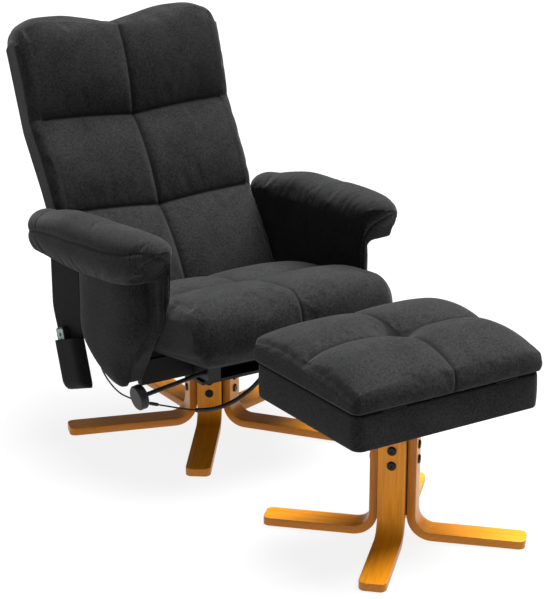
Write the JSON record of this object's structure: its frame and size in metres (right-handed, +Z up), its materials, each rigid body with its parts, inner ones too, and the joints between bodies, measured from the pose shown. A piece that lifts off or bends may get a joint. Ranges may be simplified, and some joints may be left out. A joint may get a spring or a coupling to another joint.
{
  "type": "massage recliner with footstool",
  "caption": "Tufted charcoal-fabric massage recliner that swivels and reclines on a bent-wood star base, with a matching storage footstool on a bent-wood cross base.",
  "frame": {"origin": "on the floor, at the middle of the footprint of chair and footstool together", "axes": "+Z up; the chair faces -Y towards the footstool; the sitter's right side, with pocket and lock knob, is -X"},
  "size_m": [0.785, 1.6235, 1.0058],
  "materials": {
    "charcoal_fabric": "brushed short-pile upholstery cloth, seams and tufts",
    "bent_wood": "honey-stained bent plywood, satin lacquer",
    "black_steel": "black powder coat",
    "bolt_steel": "black oxide",
    "plain_steel": "zinc plated",
    "nylon": "natural nylon",
    "painted_board": "black stained board",
    "plywood": "raw plywood",
    "black_plastic": "fine-grained black plastic",
    "cable_rubber": "matte black cable jacket",
    "handset_face": "pale grey-green panel",
    "button_rubber": "dark grey keys"
  },
  "bodies": {
    "base": {"chair_leg_1": "bent_wood", "chair_leg_2": "bent_wood", "chair_leg_3": "bent_wood", "chair_leg_4": "bent_wood", "chair_leg_5": "bent_wood", "chair_hub": "black_steel", "swivel_bush": "nylon", "chair_leg_bolts": "bolt_steel"},
    "chassis": {"swivel_carrier": "black_steel", "cross_board_front": "painted_board", "cross_board_middle": "painted_board", "cross_board_rear": "painted_board", "slide_rail_left": "black_steel", "slide_rail_right": "black_steel", "back_brackets": "black_steel", "back_pivot_pins": "plain_steel", "arm_core_left": "charcoal_fabric", "arm_core_right": "charcoal_fabric", "arm_pad_left": "charcoal_fabric", "arm_pad_right": "charcoal_fabric", "side_panel_left": "charcoal_fabric", "side_panel_right": "charcoal_fabric", "arm_bolts": "bolt_steel", "remote_pocket": "charcoal_fabric", "massage_controller": "black_plastic", "lock_bracket": "black_steel", "cable_lead_front": "cable_rubber", "cable_sleeve": "cable_rubber", "cable_lead_middle": "cable_rubber", "cable_connector": "black_plastic", "cable_lead_rear": "cable_rubber", "cable_glands": "black_plastic"},
    "seat": {"seat_pan": "plywood", "seat_runner_left": "nylon", "seat_runner_right": "nylon", "seat_cushion": "charcoal_fabric", "seat_motors": "black_plastic"},
    "backrest": {"back_board": "plywood", "back_arms": "black_steel", "back_cover": "charcoal_fabric", "back_cushion": "charcoal_fabric", "back_motors": "black_plastic"},
    "recline_lock": {"lock_rod": "black_steel", "lock_knob": "black_plastic"},
    "handset": {"handset_case": "black_plastic", "handset_face": "handset_face"},
    "power_button": {"button_power": "button_rubber"},
    "mode_button": {"button_mode": "button_rubber"},
    "strength_button": {"button_strength": "button_rubber"},
    "footstool": {"stool_leg_1": "bent_wood", "stool_leg_2": "bent_wood", "stool_leg_3": "bent_wood", "stool_leg_4": "bent_wood", "stool_hub": "black_steel", "stool_leg_bolts": "bolt_steel", "stool_box": "charcoal_fabric", "stool_hinges": "black_steel"},
    "stool_lid": {"lid_board": "plywood", "lid_cushion": "charcoal_fabric", "lid_hinge_leaves": "black_steel"}
  },
  "joints": [
    {"name": "swivel", "type": "hinge", "parent": "base", "child": "chassis", "pos_m": [0, 0.22839, 0.164], "axis": [0, 0, 1], "continuous": true},
    {"name": "recline", "type": "hinge", "parent": "chassis", "child": "backrest", "pos_m": [0, 0.40237, 0.2699], "axis": [-1, 0, 0], "range_deg": [0, 25]},
    {"name": "seat_slide", "type": "slide", "parent": "chassis", "child": "seat", "axis": [0, -0.992, 0.1262], "range_m": [0, 0.0505]},
    {"name": "lock_turn", "type": "hinge", "parent": "chassis", "child": "recline_lock", "pos_m": [-0.1, 0.02339, 0.228], "axis": [-0.9898, 0, -0.1426], "range_deg": [0, 360]},
    {"name": "handset_lift", "type": "slide", "parent": "chassis", "child": "handset", "axis": [0, 0.342, 0.9397], "range_m": [0, 0.12]},
    {"name": "power_press", "type": "slide", "parent": "handset", "child": "power_button", "axis": [1, 0, 0], "range_m": [0, 0.0008], "stiffness_N_per_m": 900},
    {"name": "mode_press", "type": "slide", "parent": "handset", "child": "mode_button", "axis": [1, 0, 0], "range_m": [0, 0.0008], "stiffness_N_per_m": 900},
    {"name": "strength_press", "type": "slide", "parent": "handset", "child": "strength_button", "axis": [1, 0, 0], "range_m": [0, 0.0008], "stiffness_N_per_m": 900},
    {"name": "footstool_move", "type": "slide", "parent": "base", "child": "footstool", "axis": [0, -1, 0], "range_m": [0, 0.3]},
    {"name": "lid_hinge", "type": "hinge", "parent": "footstool", "child": "stool_lid", "pos_m": [0, -0.77701, 0.403], "axis": [1, 0, 0], "range_deg": [0, 95]}
  ],
  "couplings": [
    {"joint": "seat_slide", "follows": "recline", "m_per_rad": 0.11459}
  ]
}
